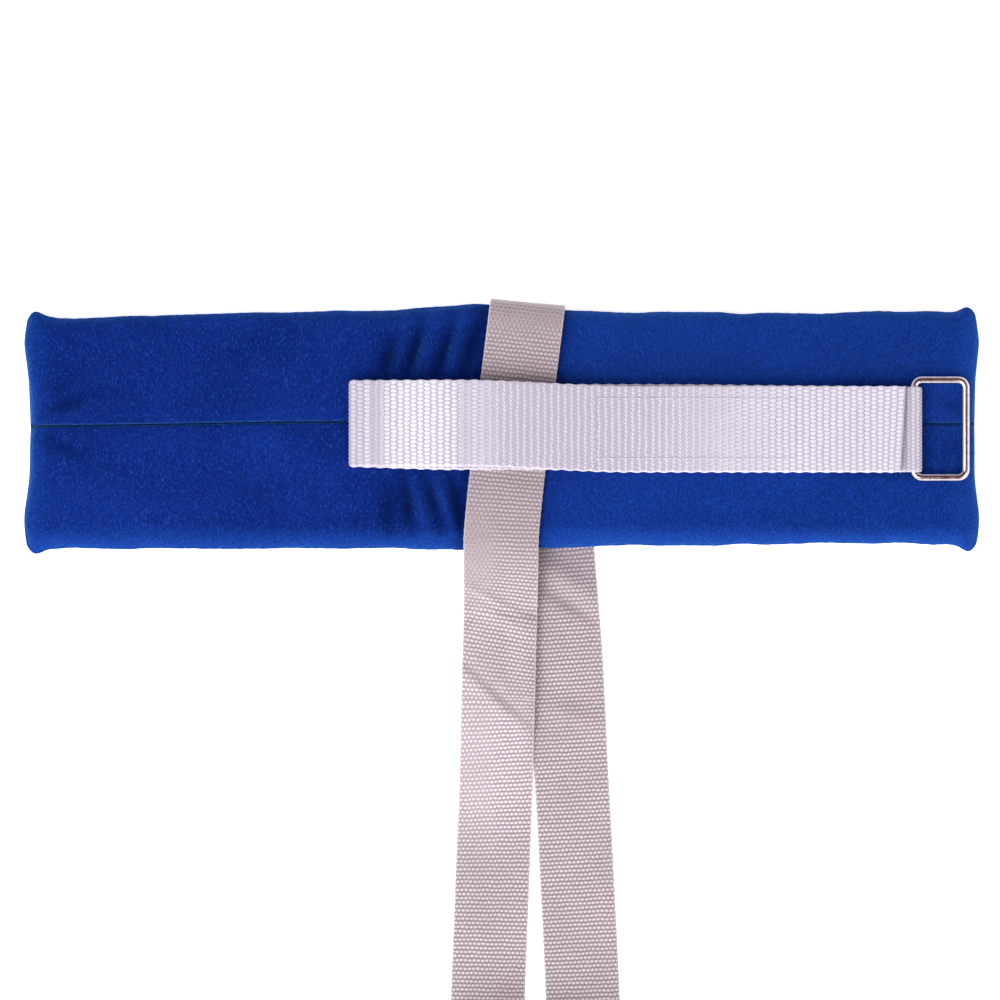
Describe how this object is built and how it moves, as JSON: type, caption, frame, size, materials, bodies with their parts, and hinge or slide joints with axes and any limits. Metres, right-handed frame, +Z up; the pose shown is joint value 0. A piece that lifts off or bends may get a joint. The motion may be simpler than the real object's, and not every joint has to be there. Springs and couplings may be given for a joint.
{
  "type": "gait belt",
  "caption": "Padded fabric cuff with a folded webbing closure strap, a rectangular wire ring and a long two-tailed tie strap.",
  "frame": {"origin": "centre of the pad's underside, on the surface that the cuff lies on", "axes": "+X along the pad towards the wire ring, +Y across the pad towards the edge that the tie strap is folded over, +Z up from the surface"},
  "size_m": [0.32, 0.2759, 0.0364],
  "materials": {
    "pile_fabric": "matte",
    "foam": "matte",
    "closure_webbing": "satin",
    "tie_webbing": "matte",
    "hook_tape": "satin",
    "loop_tape": "matte",
    "nickel_wire": "polished",
    "blue_thread": "matte",
    "white_thread": "matte",
    "elastic": "matte"
  },
  "bodies": {
    "cuff": {"foam_core": "foam", "cover_sleeve": "pile_fabric", "centre_seam_thread": "blue_thread", "end_seam_threads": "blue_thread", "closure_base_layer": "closure_webbing", "closure_fold": "closure_webbing", "loop_patch": "loop_tape", "loop_patch_stitches": "white_thread", "strap_anchor_stitches": "white_thread", "ring_tab": "closure_webbing", "ring_tab_stitches": "white_thread", "tie_saddle": "tie_webbing", "tie_front_run": "tie_webbing", "tie_back_run": "tie_webbing"},
    "ring": {"ring": "nickel_wire"},
    "closure_flap": {"closure_flap": "closure_webbing", "hook_patch": "hook_tape", "hook_patch_stitches": "white_thread"},
    "closure_tip": {"closure_tip": "closure_webbing"},
    "tie_front": {"tie_front_tail": "tie_webbing", "tie_front_roll": "tie_webbing", "tie_front_band": "elastic"},
    "tie_back": {"tie_back_tail": "tie_webbing", "tie_back_roll": "tie_webbing", "tie_back_band": "elastic"}
  },
  "joints": [
    {"name": "ring_swing", "type": "hinge", "parent": "cuff", "child": "ring", "pos_m": [0.13805, 0, 0.0146], "axis": [0, -1, 0], "range_deg": [0, 150]},
    {"name": "closure_lift", "type": "hinge", "parent": "cuff", "child": "closure_flap", "pos_m": [-0.04795, 0, 0.01605], "axis": [0, -1, 0], "range_deg": [0, 172], "deforming": ["closure_fold"]},
    {"name": "tip_peel", "type": "hinge", "parent": "closure_flap", "child": "closure_tip", "pos_m": [0.1001, 0, 0.0191], "axis": [0, -1, 0], "range_deg": [0, 60]},
    {"name": "front_tail_lift", "type": "hinge", "parent": "cuff", "child": "tie_front", "pos_m": [-0.0023, -0.128, 0.0027], "axis": [-1, 0, 0], "range_deg": [0, 100]},
    {"name": "back_tail_lift", "type": "hinge", "parent": "cuff", "child": "tie_back", "pos_m": [0.0243, -0.128, 0.0012], "axis": [-1, 0, 0], "range_deg": [0, 100]}
  ]
}
